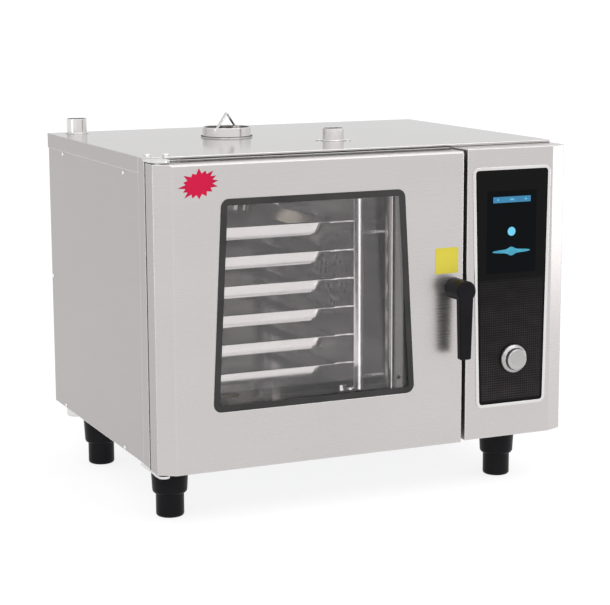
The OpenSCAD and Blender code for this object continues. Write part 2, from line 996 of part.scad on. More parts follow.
module hinge_pins() {
    color("silver")
        place() {
            for (span = [[door_top - 28, upper_plate_z + hinge_plate_t], [lower_plate_z, door_z0 + 28]])
                bar_z([pivot[0], pivot[1], span[0]], hinge_pin_r, span[1] - span[0]);
        }
}

module hinge_bushes() {
    color("goldenrod")
        place()
            for (z = [door_z0 + 0.4, door_top - 30.4])
                difference() {
                    bar_z([pivot[0], pivot[1], z], hinge_pin_r + 4, 30);
                    bar_z([pivot[0], pivot[1], z - 1], hinge_pin_r + running, 32);
                }
}

// Door ------------------------------------------------------------------------------

// The door's section seen from above, set in by d from its outer skin and open at the back
function door_section(d) = [
    [left + d, d ? 0 : door_back], [left + d, door_front + door_chamfer_y + d * 0.7],
    [left + door_chamfer_x + d * 0.3, door_front + d],
    [left + door_w - d, door_front + d], [left + door_w - d, d ? 0 : door_back]
];

// The door's form set in by d, with the long top edge folded at a slant
module door_form(d) {
    fold = door_fold - d * 0.6;
    difference() {
        flat_plate(door_section(d), door_z0 + d, door_top - door_z0 - 2 * d);
        translate([left - 1, door_front + d, door_top - d])
            rotate([90, 0, 90])
                linear_extrude(height = door_w + 2)
                    polygon([[-1, -fold - 1], [fold + 1, 1], [-1, 1]]);
    }
}

module door_shell() {
    color("gainsboro")
        place()
            difference() {
                door_form(0);
                door_form(sheet);
                front_plate(rounded(window_outline, glass_r), door_front - 1, sheet + 2);
                bar_z([pivot[0], pivot[1], door_z0 - 1], hinge_pin_r + 4.1, door_top - door_z0 + 2);
                bar_y([handle_x, door_front - 1, handle_z], spindle_r + running, sheet + 2);
            }
}

door_fold = 4;
tunnel = rect(left + 100, left + 640, 92, 606);

// Back skin of the door, with the tunnel between the two panes
module door_inner_pan() {
    color("silver")
        place()
            difference() {
                union() {
                    front_plate(
                        rect(
                            left + sheet + slack, left + door_w - sheet - slack,
                            door_z0 + sheet + slack, door_top - sheet - slack
                        ),
                        door_back - sheet, sheet
                    );
                    front_ring(
                        rounded(tunnel, 22), rounded(grow(tunnel, -1.2), 20.8),
                        door_front + 8, door_t - 8 - sheet
                    );
                }
                front_plate(rounded(grow(tunnel, -1.2), 20.8), door_back - 5, 10);
                bar_y([handle_x, door_back - 5, handle_z], spindle_r + running, 10);
            }
}

function grow_glass(d) = rounded(grow(window_outline, d), glass_r + d);

module window_seal() {
    color("dimgray")
        place()
            union() {
                front_ring(grow_glass(-0.3), grow_glass(-window_rim), door_front - 0.5, 1.9);
                front_ring(grow_glass(-0.3), grow_glass(-4), door_front + 1.3, 6.2);
            }
}

module door_outer_glass() {
    color("gray", 0.3)
        place()
            front_plate(grow_glass(-4.3), door_front + 1.6, 5);
}

module door_inner_glass() {
    color("gray", 0.3)
        place()
            front_plate(rounded(grow(tunnel, -1.5), 20.5), door_back - 6.5, 5);
}

burst = [left + 95, 616];

module burst_sticker() {
    color("crimson")
        place()
            front_plate(
                [for (i = [0 : 31])
                    burst + (i % 2 ? 0.64 : 0.89 + 0.11 * sin(i * 97))
                        * [48 * cos(i * 11.25), 34 * sin(i * 11.25) + 7 * cos(i * 11.25)]],
                door_front - 0.35, 0.3
            );
}

module square_label() {
    color("gold")
        place()
            front_plate(
                rounded(rect(left + 652, left + 709, 388, 446), 3), door_front - 0.35, 0.3
            );
}

// Handle and latch ------------------------------------------------------------------

hub_y0 = door_front - handle_out + lever_t + slack;

module handle_hub() {
    color("black")
        place()
            difference() {
                translate([handle_x, door_front - 0.5, handle_z])
                    rotate([90, 0, 0])
                        rotate_extrude()
                            polygon([
                                [0, 0], [hub_r - 1, 0], [hub_r, 1],
                                [hub_r, door_front - 0.5 - hub_y0], [0, door_front - 0.5 - hub_y0]
                            ]);
                bar_y([handle_x, hub_y0 + 8, handle_z], spindle_r + 0.02, 60);
            }
}

// Flat lever with soft edges that hangs down from the hub
module handle_lever() {
    y0 = door_front - handle_out;
    soft = 4;
    tip_z = handle_z - 154;
    color("black")
        place()
            union() {
                translate([handle_x, y0 + lever_t, handle_z])
                    rotate([90, 0, 0])
                        rotate_extrude()
                            polygon([
                                [0, 0], [hub_r, 0], [hub_r, lever_t - 3],
                                [hub_r - 1, lever_t - 1], [hub_r - 3, lever_t], [0, lever_t]
                            ]);
                hull()
                    for (y = [y0 + soft, y0 + lever_t - soft]) {
                        for (side = [-1, 1])
                            translate([handle_x + side * (18 - soft), y, handle_z])
                                sphere(r = soft, $fn = 24);
                        for (side = [-1, 1])
                            translate([handle_x + side * (13.5 - soft), y, tip_z + soft])
                                sphere(r = soft, $fn = 24);
                    }
            }
}

// Square-backed spindle through the door, with the cam that pulls the door shut
module latch_spindle() {
    cam_y = door_back + 0.8;
    color("silver")
        place()
            union() {
                bar_y([handle_x, hub_y0 + 9, handle_z], spindle_r, cam_y + 2 - hub_y0 - 9);
                bar_y([handle_x, cam_y, handle_z], 13, 3);
                block([handle_x - 7, cam_y, handle_z - 2], [handle_x + 7, cam_y + 3, handle_z + 26]);
            }
}

// Keeper on the frame, behind the cam
module door_striker() {
    color("silver")
        place()
            difference() {
                union() {
                    block([handle_x - 17, -3, handle_z - 40], [handle_x + 17, -0.1, handle_z + 60]);
                    block([handle_x - 14, -9.5, handle_z + 14], [handle_x + 14, -2, handle_z + 44]);
                }
                for (z = [handle_z - 30, handle_z + 52])
                    bar_y([handle_x, -5, z], 3, 8);
            }
}

// Screws and feet -------------------------------------------------------------------

// A dome-headed screw whose shank runs along +X from the head's seat
module screw() {
    rotate([0, 90, 0]) {
        cylinder(r = screw_r, h = side_t + 0.4);
        rotate_extrude()
            polygon([[0, 0.1], [5, 0.1], [5, -0.6], [4.2, -1.7], [2.6, -2.4], [0, -2.6]]);
    }
}

module panel_screws() {
    panel_x = left + sheet + slack;
    color("white")
        place() {
            for (p = side_screws) {
                translate([panel_x - 0.15, p[0], p[1]])
                    screw();
                translate([-panel_x + 0.15, p[0], p[1]])
                    mirror([1, 0, 0])
                        screw();
            }
            for (p = rear_screws)
                translate([p[0], rear_y + side_t + 0.15, p[1]])
                    rotate([0, 0, -90])
                        screw();
        }
}

// Fixed upper part of a foot, tapering to a rounded shoulder
module foot_sleeve() {
    r0 = sleeve_d / 2;
    r1 = r0 - 3.5;
    bore = foot_d / 2 + running;
    rotate_extrude()
        polygon(concat(
            [[bore, -12], [0, -12], [0, -0.1], [r0, -0.1], [r1, -sleeve_h + 8]],
            [for (i = [0 : 5]) [r1 - 8 + 8 * cos(i * 18), -sleeve_h + 8 - 8 * sin(i * 18)]],
            [[bore, -sleeve_h]]
        ));
}

module foot_sleeves() {
    color("black")
        place()
            for (x = feet_x, y = feet_y)
                translate([x, y, 0])
                    foot_sleeve();
}

// Height-adjusting lower part of a foot, with a rounded bottom edge
module foot(x, y) {
    r = foot_d / 2;
    color("black")
        place()
            translate([x, y, -leg_h])
                rotate_extrude()
                    polygon(concat(
                        [[0, 0], [r - 7, 0]],
                        [for (i = [1 : 5]) [r - 7 + 7 * sin(i * 18), 6 - 6 * cos(i * 18)]],
                        [[r, leg_h - 14], [0, leg_h - 14]]
                    ));
}

module foot_front_left() { foot(feet_x[0], feet_y[0]); }
module foot_front_right() { foot(feet_x[1], feet_y[0]); }
module foot_rear_left() { foot(feet_x[0], feet_y[1]); }
module foot_rear_right() { foot(feet_x[1], feet_y[1]); }

// Assembly --------------------------------------------------------------------------

base_pan();
top_cover();
left_side_panel();
right_side_panel();
rear_panel();
front_frame();
cavity_liner();
cavity_insulation();
cavity_gasket();
air_baffle();
rack_left();
rack_right();
tray_1();
tray_2();
tray_3();
tray_4();
tray_5();
tray_6();
cavity_lamp();
steam_injector();
heating_element();
fan_motor();
fan_wheel();
fan_shaft();
control_panel();
panel_bezel();
control_glass();
touch_display();
control_board();
dial_plunger();
dial_knob();
cable_gland();
water_valve();
drain_pipe();
vent_pipe_rear();
vent_pipe_middle();
exhaust_collar();
collar_bracket();
upper_hinge_plate();
lower_hinge_plate();
hinge_bolts();
hinge_pins();
hinge_bushes();
door_shell();
door_inner_pan();
door_outer_glass();
window_seal();
door_inner_glass();
burst_sticker();
square_label();
handle_hub();
handle_lever();
latch_spindle();
door_striker();
panel_screws();
foot_sleeves();
foot_front_left();
foot_front_right();
foot_rear_left();
foot_rear_right();
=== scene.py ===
"""Looks of a table-top combi steamer oven: its finishes, its lit display, the studio and the camera."""

import json
import math

import bpy
from mathutils import Matrix, Vector


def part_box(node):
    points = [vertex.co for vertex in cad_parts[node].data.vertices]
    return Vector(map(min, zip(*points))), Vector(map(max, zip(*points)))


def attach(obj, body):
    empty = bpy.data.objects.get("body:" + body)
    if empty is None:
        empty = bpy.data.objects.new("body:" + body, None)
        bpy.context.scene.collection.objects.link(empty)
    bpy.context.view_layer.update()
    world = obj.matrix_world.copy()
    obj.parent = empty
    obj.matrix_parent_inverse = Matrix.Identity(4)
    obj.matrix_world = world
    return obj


MM = 0.001

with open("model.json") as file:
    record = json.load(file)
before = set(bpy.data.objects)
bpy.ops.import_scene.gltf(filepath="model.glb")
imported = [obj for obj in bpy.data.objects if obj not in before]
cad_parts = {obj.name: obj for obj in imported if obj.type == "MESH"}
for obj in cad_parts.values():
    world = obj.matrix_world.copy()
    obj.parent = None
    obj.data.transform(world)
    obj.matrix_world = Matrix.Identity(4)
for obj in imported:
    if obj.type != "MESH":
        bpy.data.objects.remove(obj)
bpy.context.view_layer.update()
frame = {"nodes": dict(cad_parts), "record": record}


# Finishes --------------------------------------------------------------------------


class Finish:
    """A material with one Principled shader, and short calls that add nodes and join them."""

    def __init__(self, name, settings):
        self.material = bpy.data.materials.new(name)
        self.material.use_nodes = True
        self.nodes = self.material.node_tree.nodes
        self.links = self.material.node_tree.links
        self.surface = self.nodes["Principled BSDF"]
        self.output = self.nodes["Material Output"]
        self.set(settings)
        self.place = self.add("ShaderNodeTexCoord").outputs["Object"]

    def set(self, settings):
        for socket, value in settings.items():
            self.feed(self.surface.inputs[socket], value)

    def feed(self, socket, value):
        if isinstance(value, bpy.types.NodeSocket):
            self.links.new(value, socket)
        else:
            socket.default_value = value

    def add(self, kind, inputs=None, **settings):
        node = self.nodes.new(kind)
        for key, value in settings.items():
            setattr(node, key, value)
        for socket, value in (inputs or {}).items():
            self.feed(node.inputs[socket], value)
        return node

    def stretch(self, factors):
        """The surface's own coordinates, each axis multiplied by its factor."""
        node = self.add("ShaderNodeMapping", {"Vector": self.place, "Scale": factors})
        return node.outputs["Vector"]

    def noise(self, factors, detail=3.0, roughness=0.5):
        """Noise from 0 to 1 whose grains per metre along each axis are the factors."""
        node = self.add(
            "ShaderNodeTexNoise",
            {"Vector": self.stretch(factors), "Scale": 1.0, "Detail": detail, "Roughness": roughness},
        )
        return node.outputs["Fac"]

    def value(self, operation, a, b=0.0):
        node = self.add("ShaderNodeMath", {0: a, 1: b}, operation=operation)
        return node.outputs["Value"]

    def span(self, value, source, target, smooth=False):
        """The value moved from one range to another, and kept inside it."""
        node = self.add(
            "ShaderNodeMapRange",
            {
                "Value": value,
                "From Min": source[0],
                "From Max": source[1],
                "To Min": target[0],
                "To Max": target[1],
            },
            interpolation_type="SMOOTHSTEP" if smooth else "LINEAR",
        )
        return node.outputs["Result"]

    def blend(self, share, first, second):
        """The first colour where share is 0, the second where it is 1."""
        node = self.add("ShaderNodeMix", {0: share, 6: first, 7: second}, data_type="RGBA")
        return node.outputs[2]

    def axes(self):
        node = self.add("ShaderNodeSeparateXYZ", {0: self.place})
        return node.outputs["X"], node.outputs["Y"], node.outputs["Z"]

    def bump(self, height, depth, strength=1.0, normal=None):
        inputs = {"Height": height, "Distance": depth, "Strength": strength}
        if normal is not None:
            inputs["Normal"] = normal
        return self.add("ShaderNodeBump", inputs).outputs["Normal"]

    def soft_edges(self, radius):
        """The surface's normal with its edges rounded by the radius."""
        return self.add("ShaderNodeBevel", {"Radius": radius}, samples=6).outputs["Normal"]

    def rim(self, soft):
        """1 where the softened normal leaves the flat surface, so on edges; 0 elsewhere."""
        flat = self.add("ShaderNodeNewGeometry").outputs["Normal"]
        facing = self.add("ShaderNodeVectorMath", {0: soft, 1: flat}, operation="DOT_PRODUCT")
        return self.span(facing.outputs["Value"], (0.99, 0.80), (0.0, 1.0))

    def faces(self, axis):
        """1 on faces square to the axis, either way round, 0 on all others."""
        normal = self.add("ShaderNodeTexCoord").outputs["Normal"]
        part = self.add("ShaderNodeSeparateXYZ", {0: normal}).outputs[axis]
        return self.span(self.value("ABSOLUTE", part), (0.7, 0.9), (0.0, 1.0))


def grey(level, warmth=0.0):
    """A neutral colour, a little warmer where warmth is above 0."""
    return (level * (1 + warmth), level, level * (1 - warmth * 0.25), 1.0)


def brushed_stainless():
    """Outer sheet: satin, with a fine grain that runs level round the cabinet, rougher on its sides;
    painted shade darkens the colour of its sides and, faintly, its tops, and painted highlights lighten
    its edges.
    """
    f = Finish("brushed_stainless", {"Metallic": 1.0})
    grain = f.noise((2.5, 2.5, 1500.0), 2.0, 0.7)
    cloud = f.noise((3.0, 3.0, 5.0), 2.0)
    soft = f.soft_edges(3 * MM)
    tone = f.blend(grain, grey(0.475, 0.048), grey(0.525, 0.048))
    tone = f.blend(f.span(cloud, (0.35, 0.7), (0.0, 0.3)), tone, grey(0.56, 0.04))
    sides, tops = f.faces("X"), f.faces("Z")
    # Painted shade: the colour goes darker on side faces, and faintly on tops, for how the light falls
    # on them.
    painted_facing_shade = f.value("MAXIMUM", sides, f.value("MULTIPLY", tops, 0.35))
    tone = f.blend(f.value("MULTIPLY", painted_facing_shade, 0.68), tone, grey(0.36, 0.048))
    # Painted highlight: the colour goes near white along rounded edges.
    tone = f.blend(f.value("MULTIPLY", f.rim(soft), 0.8), tone, grey(0.92))
    satin = f.span(grain, (0.2, 0.8), (0.24, 0.32))
    rougher = f.value("MULTIPLY", sides, 0.4)
    smoother = f.value("MULTIPLY", tops, 0.55)
    change = f.value("ADD", f.value("SUBTRACT", rougher, smoother), 1.0)
    f.set(
        {
            "Base Color": tone,
            "Roughness": f.value("MULTIPLY", satin, change),
            "Normal": f.bump(grain, 0.00002, 0.2, soft),
        }
    )
    return f.material


def bright_stainless():
    """Polished sheet and tube, with faint wipe marks."""
    f = Finish("bright_stainless", {"Metallic": 1.0})
    wipe = f.noise((9.0, 30.0, 14.0), 4.0, 0.6)
    grain = f.noise((700.0, 3.0, 700.0), 2.0)
    soft = f.soft_edges(1.2 * MM)
    tone = f.blend(wipe, grey(0.62, 0.025), grey(0.72, 0.02))
    # Painted highlight: the colour goes near white along rounded edges.
    tone = f.blend(f.value("MULTIPLY", f.rim(soft), 0.8), tone, grey(0.95))
    f.set(
        {
            "Base Color": tone,
            "Roughness": f.span(wipe, (0.3, 0.75), (0.10, 0.20)),
            "Normal": f.bump(grain, 0.00001, 0.2, soft),
        }
    )
    return f.material


def chamber_stainless():
    """Darker polished sheet of the cooking chamber, dulled a little by heat."""
    f = Finish("chamber_stainless", {"Metallic": 1.0})
    heat = f.noise((5.0, 5.0, 5.0), 4.0, 0.6)
    grain = f.noise((4.0, 4.0, 900.0), 2.0)
    soft = f.soft_edges(1.5 * MM)
    tone = f.blend(f.span(heat, (0.35, 0.7), (0.0, 1.0)), grey(0.36, 0.03), grey(0.48, 0.03))
    # Painted highlight: the colour goes near white along rounded edges.
    tone = f.blend(f.value("MULTIPLY", f.rim(soft), 0.7), tone, grey(0.9))
    f.set(
        {
            "Base Color": tone,
            "Roughness": f.span(heat, (0.3, 0.7), (0.12, 0.22)),
            "Normal": f.bump(grain, 0.00001, 0.1, soft),
        }
    )
    return f.material


def rack_wire():
    """Electropolished wire, pins and screws."""
    f = Finish("rack_wire", {"Metallic": 1.0})
    pitting = f.noise((260.0, 260.0, 260.0), 3.0)
    soft = f.soft_edges(1.2 * MM)
    tone = f.blend(pitting, grey(0.72, 0.01), grey(0.88))
    f.set(
        {
            "Base Color": tone,
            "Roughness": f.span(pitting, (0.3, 0.7), (0.09, 0.16)),
            "Normal": f.bump(pitting, 0.00001, 0.2, soft),
        }
    )
    return f.material


def galvanised_sheet():
    """Zinc coat with its crystal spangle."""
    f = Finish("galvanised_sheet", {"Metallic": 1.0})
    spangle = f.add("ShaderNodeTexVoronoi", {"Vector": f.stretch((70.0, 70.0, 70.0)), "Scale": 1.0})
    level = f.add("ShaderNodeRGBToBW", {0: spangle.outputs["Color"]}).outputs["Val"]
    f.set(
        {
            "Base Color": f.blend(level, grey(0.42), (0.60, 0.62, 0.64, 1.0)),
            "Roughness": f.span(level, (0.0, 1.0), (0.34, 0.52)),
            "Normal": f.bump(level, 0.00002, 0.3),
        }
    )
    return f.material


def mineral_wool():
    """Pressed fibre wool with tangled threads."""
    f = Finish("mineral_wool", {"Sheen Weight": 0.2})
    fibre = f.noise((500.0, 90.0, 500.0), 6.0, 0.7)
    f.set(
        {
            "Base Color": f.blend(fibre, (0.45, 0.38, 0.20, 1.0), (0.80, 0.72, 0.48, 1.0)),
            "Roughness": f.span(fibre, (0.0, 1.0), (0.85, 1.0)),
            "Normal": f.bump(fibre, 0.002, 0.8),
        }
    )
    return f.material


def moulded(name, low, high, roughness, grains, shine=0.15):
    """A moulded material: so many grains per metre, its tone and its roughness between two values."""
    f = Finish(name, {"Specular IOR Level": shine})
    skin = f.noise((grains, grains, grains), 3.0, 0.6)
    patch = f.noise((14.0, 14.0, 14.0), 3.0)
    # The colour goes lighter towards the edges.
    lighter_edges = f.value("MULTIPLY", f.rim(f.soft_edges(1.2 * MM)), 0.35)
    tone = f.blend(f.span(patch, (0.3, 0.7), (0.0, 1.0)), low, high)
    f.set(
        {
            "Base Color": f.blend(lighter_edges, tone, high),
            "Roughness": f.span(skin, (0.25, 0.75), roughness),
            "Normal": f.bump(skin, 0.00005, 0.35),
        }
    )
    return f.material


def silicone_seal():
    return moulded("silicone_seal", grey(0.014), grey(0.028), (0.45, 0.62), 900.0)


def window_border():
    return moulded("window_border", grey(0.027, 0.05), grey(0.038, 0.05), (0.34, 0.50), 700.0)


def black_plastic():
    low, high = (0.0035, 0.003, 0.004, 1.0), (0.0075, 0.0065, 0.008, 1.0)
    return moulded("black_plastic", low, high, (0.30, 0.42), 1100.0, shine=0.10)


def white_plastic():
    return moulded("white_plastic", grey(0.70, 0.03), grey(0.82, 0.02), (0.32, 0.45), 800.0)


def motor_casting():
    """Painted die casting with a coarse sand texture."""
    f = Finish("motor_casting", {"Metallic": 0.6})
    sand = f.noise((420.0, 420.0, 420.0), 5.0, 0.7)
    f.set(
        {
            "Base Color": f.blend(sand, (0.16, 0.18, 0.20, 1.0), (0.34, 0.37, 0.40, 1.0)),
            "Roughness": f.span(sand, (0.2, 0.8), (0.42, 0.62)),
            "Normal": f.bump(sand, 0.0003, 0.6),
        }
    )
    return f.material


def clear_glass():
    """Flat tempered glass: clear, with a weak mirror image and a trace of wiped film."""
    f = Finish("clear_glass", {"Base Color": grey(0.9), "Metallic": 1.0})
    film = f.noise((7.0, 7.0, 16.0), 5.0, 0.65)
    f.set({"Roughness": f.span(film, (0.3, 0.8), (0.015, 0.06))})
    clear = f.add("ShaderNodeBsdfTransparent", {"Color": (0.96, 0.95, 0.953, 1.0)})
    mirror = f.add("ShaderNodeFresnel", {"IOR": 1.42}).outputs["Fac"]
    share = f.value("ADD", mirror, f.span(film, (0.55, 0.85), (0.0, 0.03)))
    both = f.add(
        "ShaderNodeMixShader", {0: share, 1: clear.outputs[0], 2: f.surface.outputs[0]}
    )
    f.links.new(both.outputs[0], f.output.inputs["Surface"])
    return f.material


def lamp_glass():
    """Frosted glass of the chamber's lamp."""
    f = Finish("lamp_glass", {"Emission Color": (1.0, 0.93, 0.78, 1.0), "Emission Strength": 0.35})
    frost = f.noise((300.0, 300.0, 300.0), 3.0)
    f.set(
        {
            "Base Color": f.blend(frost, (0.78, 0.76, 0.70, 1.0), (0.92, 0.90, 0.84, 1.0)),
            "Roughness": f.span(frost, (0.2, 0.8), (0.18, 0.4)),
            "Normal": f.bump(frost, 0.0002, 0.4),
        }
    )
    return f.material


def weave(f, pitch):
    """1 on the threads of a plain weave, 0 in its holes; the pitch is from thread to thread."""
    x, _, z = f.axes()
    turns = 2 * math.pi / pitch
    warp = f.value("SINE", f.value("MULTIPLY", x, turns))
    weft = f.value("SINE", f.value("MULTIPLY", z, turns))
    return f.span(f.value("MAXIMUM", weft, warp), (0.25, 0.95), (0.0, 1.0), smooth=True)


def printed_area(f, low, high, top):
    """1 below the top and inside the glass's leaning sides, 0 outside, with soft borders."""
    x, _, z = f.axes()
    fade = 5 * MM
    margin = (4 * MM, 7 * MM)
    left_lean, right_lean = 0.03, 0.012
    depth = f.value("SUBTRACT", high.z, z)
    left = f.value("ADD", low.x, f.value("MULTIPLY", depth, left_lean))
    right = f.value("SUBTRACT", high.x, f.value("MULTIPLY", depth, right_lean))
    inward = f.value("MINIMUM", f.value("SUBTRACT", x, left), f.value("SUBTRACT", right, x))
    across = f.span(inward, margin, (0.0, 1.0))
    under = f.span(z, (top + fade, top - fade), (0.0, 1.0), smooth=True)
    above = f.span(z, (low.z + 4 * MM, low.z + 12 * MM), (0.0, 1.0), smooth=True)
    return f.value("MULTIPLY", f.value("MULTIPLY", under, above), across)


def black_glass():
    """Control glass: black from behind, with a woven screen print that grows paler downwards."""
    low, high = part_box("control_glass")
    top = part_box("touch_display")[0].z - 10 * MM
    f = Finish("black_glass", {"Specular IOR Level": 0.06})
    z = f.axes()[2]
    uneven = f.span(f.noise((22.0, 22.0, 40.0), 3.0), (0.3, 0.7), (0.55, 1.0))
    downward = f.span(z, (top, low.z + 40 * MM), (0.35, 1.0))
    ink = f.value("MULTIPLY", printed_area(f, low, high, top), f.value("MULTIPLY", uneven, downward))
    threads = f.value("MULTIPLY", ink, weave(f, 5.6 * MM))
    ground = f.blend(ink, grey(0.0045), grey(0.0085, 0.05))
    smear = f.noise((30.0, 30.0, 9.0), 4.0, 0.6)
    f.set(
        {
            "Base Color": f.blend(threads, ground, (0.038, 0.033, 0.034, 1.0)),
            "Roughness": f.span(smear, (0.3, 0.8), (0.16, 0.30)),
            "Normal": f.bump(threads, 0.00004, 0.4),
        }
    )
    return f.material


def display_glass():
    """The display's own glass: deeper black with a faint blue glow from behind."""
    f = Finish("display_glass", {"Specular IOR Level": 0.05})
    glow = f.noise((18.0, 18.0, 14.0), 3.0)
    smear = f.noise((30.0, 30.0, 9.0), 4.0, 0.6)
    f.set(
        {
            "Base Color": f.blend(glow, (0.0012, 0.0018, 0.0024, 1.0), (0.002, 0.003, 0.0042, 1.0)),
            "Roughness": f.span(smear, (0.3, 0.8), (0.14, 0.26)),
        }
    )
    return f.material


def circuit_board():
    """Solder resist over copper tracks."""
    f = Finish("circuit_board", {"Metallic": 0.1})
    cells = f.add(
        "ShaderNodeTexBrick",
        {
            "Vector": f.stretch((160.0, 160.0, 160.0)),
            "Scale": 1.0,
            "Color1": (0.010, 0.075, 0.035, 1.0),
            "Color2": (0.012, 0.10, 0.045, 1.0),
            "Mortar": (0.05, 0.22, 0.10, 1.0),
        },
    )
    f.set(
        {
            "Base Color": cells.outputs["Color"],
            "Roughness": f.span(cells.outputs["Fac"], (0.0, 1.0), (0.3, 0.5)),
        }
    )
    return f.material


def from_middle(f, node):
    """Distance from the node's middle as seen from in front."""
    low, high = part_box(node)
    centre = (low + high) / 2
    x, _, z = f.axes()
    across = f.value("POWER", f.value("SUBTRACT", x, centre.x), 2.0)
    upward = f.value("POWER", f.value("SUBTRACT", z, centre.z), 2.0)
    return f.value("POWER", f.value("ADD", across, upward), 0.5)


def silver_dial():
    """Satin aluminium, turned, with circular tool marks round the dial's axis."""
    f = Finish("silver_dial", {"Metallic": 1.0})
    pitch = 0.5 * MM
    ring = f.value("SINE", f.value("MULTIPLY", from_middle(f, "dial_knob"), 2 * math.pi / pitch))
    marks = f.noise((120.0, 120.0, 120.0), 3.0)
    shade = f.value("ADD", f.value("MULTIPLY", ring, 0.15), marks)
    tone = f.blend(shade, grey(0.37, 0.02), grey(0.46, 0.02))
    soft = f.soft_edges(2.5 * MM)
    f.set(
        {
            # Painted highlight: the colour goes near white along the dial's rims.
            "Base Color": f.blend(f.rim(soft), tone, grey(0.92)),
            "Roughness": f.span(shade, (0.2, 0.8), (0.24, 0.36)),
            "Normal": f.bump(ring, 0.000012, 0.3, soft),
        }
    )
    return f.material


def bush_brass():
    """Cast brass with brown stains."""
    f = Finish("bush_brass", {"Metallic": 1.0})
    stain = f.noise((180.0, 180.0, 60.0), 4.0)
    f.set(
        {
            "Base Color": f.blend(stain, (0.46, 0.30, 0.10, 1.0), (0.78, 0.58, 0.26, 1.0)),
            "Roughness": f.span(stain, (0.3, 0.7), (0.22, 0.4)),
            "Normal": f.bump(stain, 0.00005, 0.3),
        }
    )
    return f.material


def heater_sheath():
    """Alloy tube tinted brown and blue by heat."""
    f = Finish("heater_sheath", {"Metallic": 0.9})
    heat = f.noise((30.0, 22.0, 22.0), 4.0, 0.6)
    f.set(
        {
            "Base Color": f.blend(heat, (0.14, 0.10, 0.075, 1.0), (0.20, 0.21, 0.24, 1.0)),
            "Roughness": f.span(heat, (0.3, 0.7), (0.4, 0.6)),
            "Normal": f.bump(heat, 0.0001, 0.3),
        }
    )
    return f.material


def sticker(name, node, middle, edge, reach):
    """Printed vinyl whose tone deepens over a reach of distances from its middle."""
    f = Finish(name, {"Specular IOR Level": 0.12})
    print_dots = f.noise((900.0, 900.0, 900.0), 2.0)
    deepening = f.span(from_middle(f, node), reach, (0.0, 0.85))
    share = f.value("ADD", deepening, f.value("MULTIPLY", print_dots, 0.15))
    f.set(
        {
            "Base Color": f.blend(share, middle, edge),
            "Roughness": f.span(print_dots, (0.2, 0.8), (0.32, 0.46)),
            "Normal": f.bump(print_dots, 0.00002, 0.3),
        }
    )
    return f.material


def red_vinyl():
    return sticker(
        "red_vinyl",
        "burst_sticker",
        (0.50, 0.006, 0.046, 1.0),
        (0.34, 0.003, 0.040, 1.0),
        (22 * MM, 44 * MM),
    )


def yellow_vinyl():
    return sticker(
        "yellow_vinyl",
        "square_label",
        (0.56, 0.48, 0.056, 1.0),
        (0.53, 0.45, 0.046, 1.0),
        (16 * MM, 36 * MM),
    )


FINISHES = {
    maker.__name__: maker
    for maker in (
        brushed_stainless,
        bright_stainless,
        chamber_stainless,
        rack_wire,
        galvanised_sheet,
        mineral_wool,
        silicone_seal,
        window_border,
        clear_glass,
        black_glass,
        display_glass,
        circuit_board,
        black_plastic,
        white_plastic,
        silver_dial,
        motor_casting,
        lamp_glass,
        bush_brass,
        heater_sheath,
        red_vinyl,
        yellow_vinyl,
    )
}


def dress_nodes():
    """Gives each CAD node the finish that the record names for it."""
    made = {slot: maker() for slot, maker in FINISHES.items()}
    for row in frame["record"]["subparts"]:
        node = frame["nodes"][row["node"]]
        node.data.materials.clear()
        node.data.materials.append(made[row["material_slot"]])


# Pieces that the CAD leaves out ----------------------------------------------------


def mesh_object(name, points, faces, finish):
    mesh = bpy.data.meshes.new(name)
    mesh.from_pydata(points, [], faces)
    mesh.materials.append(finish)
    made = bpy.data.objects.new(name, mesh)
    bpy.context.scene.collection.objects.link(made)
    return made


def lit(name, darker, brighter):
    """A glowing finish whose light goes from darker to brighter in patches."""
    f = Finish(name, {"Roughness": 0.3, "Emission Strength": 0.9})
    patch = f.noise((60.0, 60.0, 90.0), 3.0)
    tone = f.blend(f.span(patch, (0.35, 0.65), (0.0, 1.0)), darker, brighter)
    black = f.span(patch, (0.0, 1.0), (0.8, 0.9))
    f.set({"Base Color": f.blend(black, tone, grey(0.002)), "Emission Color": tone})
    return f.material


def plate_piece(name, outline, finish, thickness=0.12 * MM):
    """A thin plate on the display's face from an outline in millimetres round the display's centre."""
    low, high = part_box("touch_display")
    centre = (low + high) / 2
    front = low.y
    count = len(outline)
    points = []
    for y in (front - thickness, front):
        points += [(centre.x + u * MM, y, centre.z + v * MM) for u, v in outline]
    faces = [list(range(count)), list(range(2 * count - 1, count - 1, -1))]
    faces += [[i, i + count, (i + 1) % count + count, (i + 1) % count] for i in range(count)]
    piece = mesh_object(name, points, faces, finish)
    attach(piece, "cabinet")
    return piece


def arc(centre, radius, start, end, steps):
    """Points on an arc, its angles in degrees, anticlockwise."""
    turns = [math.radians(start + (end - start) * i / steps) for i in range(steps + 1)]
    return [(centre[0] + radius * math.cos(t), centre[1] + radius * math.sin(t)) for t in turns]


def bar_outline(width, height, corner, lift):
    """A bar with rounded corners."""
    u, v = width / 2 - corner, height / 2 - corner
    return (
        arc((u, lift + v), corner, 0, 90, 4)
        + arc((-u, lift + v), corner, 90, 180, 4)
        + arc((-u, lift - v), corner, 180, 270, 4)
        + arc((u, lift - v), corner, 270, 360, 4)
    )


def lens_outline(width, height, swell, lift):
    """A long thin lens with a raised middle, like a curve of heat."""
    steps = 48
    upper = []
    for i in range(steps + 1):
        u = 1 - 2 * i / steps
        body = height * math.sqrt(max(0.0, 1 - abs(u) ** 2.2))
        bulge = swell * math.exp(-((u / 0.2) ** 2))
        upper.append((u * width / 2, (body + bulge) / 2))
    lower = [(u, -v) for u, v in reversed(upper[1:-1])]
    return [(u, v + lift) for u, v in upper + lower]


